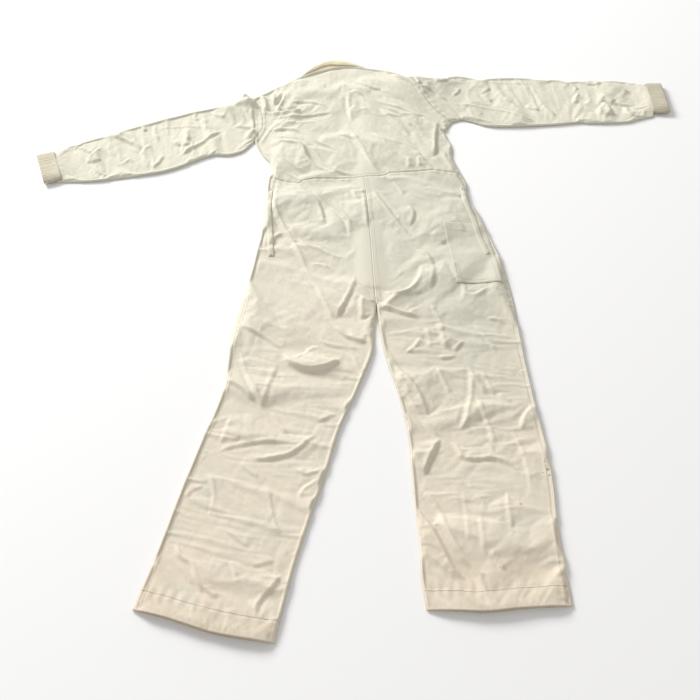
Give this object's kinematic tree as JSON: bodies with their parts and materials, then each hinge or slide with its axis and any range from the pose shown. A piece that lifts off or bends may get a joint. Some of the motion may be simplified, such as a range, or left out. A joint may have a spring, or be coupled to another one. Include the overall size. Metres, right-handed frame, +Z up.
{
  "type": "beekeeping suit",
  "caption": "One-piece cotton work suit lying face down, with long sleeves, knit cuffs, shirt collar, hip pocket, side openings and front zip.",
  "frame": {"origin": "centre of the suit's outline, on the surface it lies on", "axes": "+Z up, +Y from the hems to the collar, +X towards the wearer's right sleeve; the suit lies face down"},
  "size_m": [1.6113, 1.5889, 0.0412],
  "materials": {
    "body_cloth": "soft matt polycotton twill",
    "leg_cloth": "soft matt polycotton twill, a little warmer",
    "inner_cloth": "matt cotton, yellowed",
    "knit": "ribbed knit",
    "zip_tape": "woven tape",
    "brass": "dull, handled",
    "thread": "stitched thread"
  },
  "bodies": {
    "body": {"back_bodice": "body_cloth", "front_bodice_left": "body_cloth", "front_bodice_right": "body_cloth", "back_seat_left": "body_cloth", "back_seat_right": "body_cloth", "front_seat_left": "body_cloth", "front_seat_right": "body_cloth", "hip_pocket": "body_cloth", "chest_pocket_left": "body_cloth", "chest_pocket_right": "body_cloth", "collar_leaf": "inner_cloth", "collar_stand": "inner_cloth", "vent_facing_left": "inner_cloth", "vent_facing_right": "inner_cloth", "vent_bartacks": "thread", "vent_snaps": "brass", "pocket_bag_left": "inner_cloth", "pocket_bag_right": "inner_cloth", "front_facing_left": "inner_cloth", "front_facing_right": "inner_cloth", "zip_tape_left": "zip_tape", "zip_tape_right": "zip_tape", "zip_teeth_left": "brass", "zip_teeth_right": "brass", "zip_stops": "brass"},
    "left_arm": {"left_sleeve_back": "body_cloth", "left_sleeve_front": "body_cloth", "left_cuff": "knit"},
    "right_arm": {"right_sleeve_back": "body_cloth", "right_sleeve_front": "body_cloth", "right_cuff": "knit"},
    "left_leg": {"left_leg_back": "leg_cloth", "left_leg_front": "leg_cloth"},
    "right_leg": {"right_leg_back": "leg_cloth", "right_leg_front": "leg_cloth"},
    "slider": {"zip_slider": "brass"},
    "pull": {"zip_pull": "brass"}
  },
  "joints": [
    {"name": "left_arm_swing", "type": "hinge", "parent": "body", "child": "left_arm", "pos_m": [-0.29, 0.545, 0.01], "axis": [0, 0, 1], "range_deg": [-25, 15]},
    {"name": "right_arm_swing", "type": "hinge", "parent": "body", "child": "right_arm", "pos_m": [0.205, 0.628, 0.01], "axis": [0, 0, 1], "range_deg": [-20, 30]},
    {"name": "left_leg_swing", "type": "hinge", "parent": "body", "child": "left_leg", "pos_m": [-0.13, -0.175, 0.01], "axis": [0, 0, 1], "range_deg": [-8, 10]},
    {"name": "right_leg_swing", "type": "hinge", "parent": "body", "child": "right_leg", "pos_m": [0.185, -0.175, 0.01], "axis": [0, 0, 1], "range_deg": [-10, 8]},
    {"name": "zip_slide", "type": "slide", "parent": "body", "child": "slider", "axis": [0, -1, 0], "range_m": [0, 0.635]},
    {"name": "pull_swing", "type": "hinge", "parent": "slider", "child": "pull", "pos_m": [0.018, 0.6485, 0.0011], "axis": [1, 0, 0], "range_deg": [0, 170]}
  ]
}
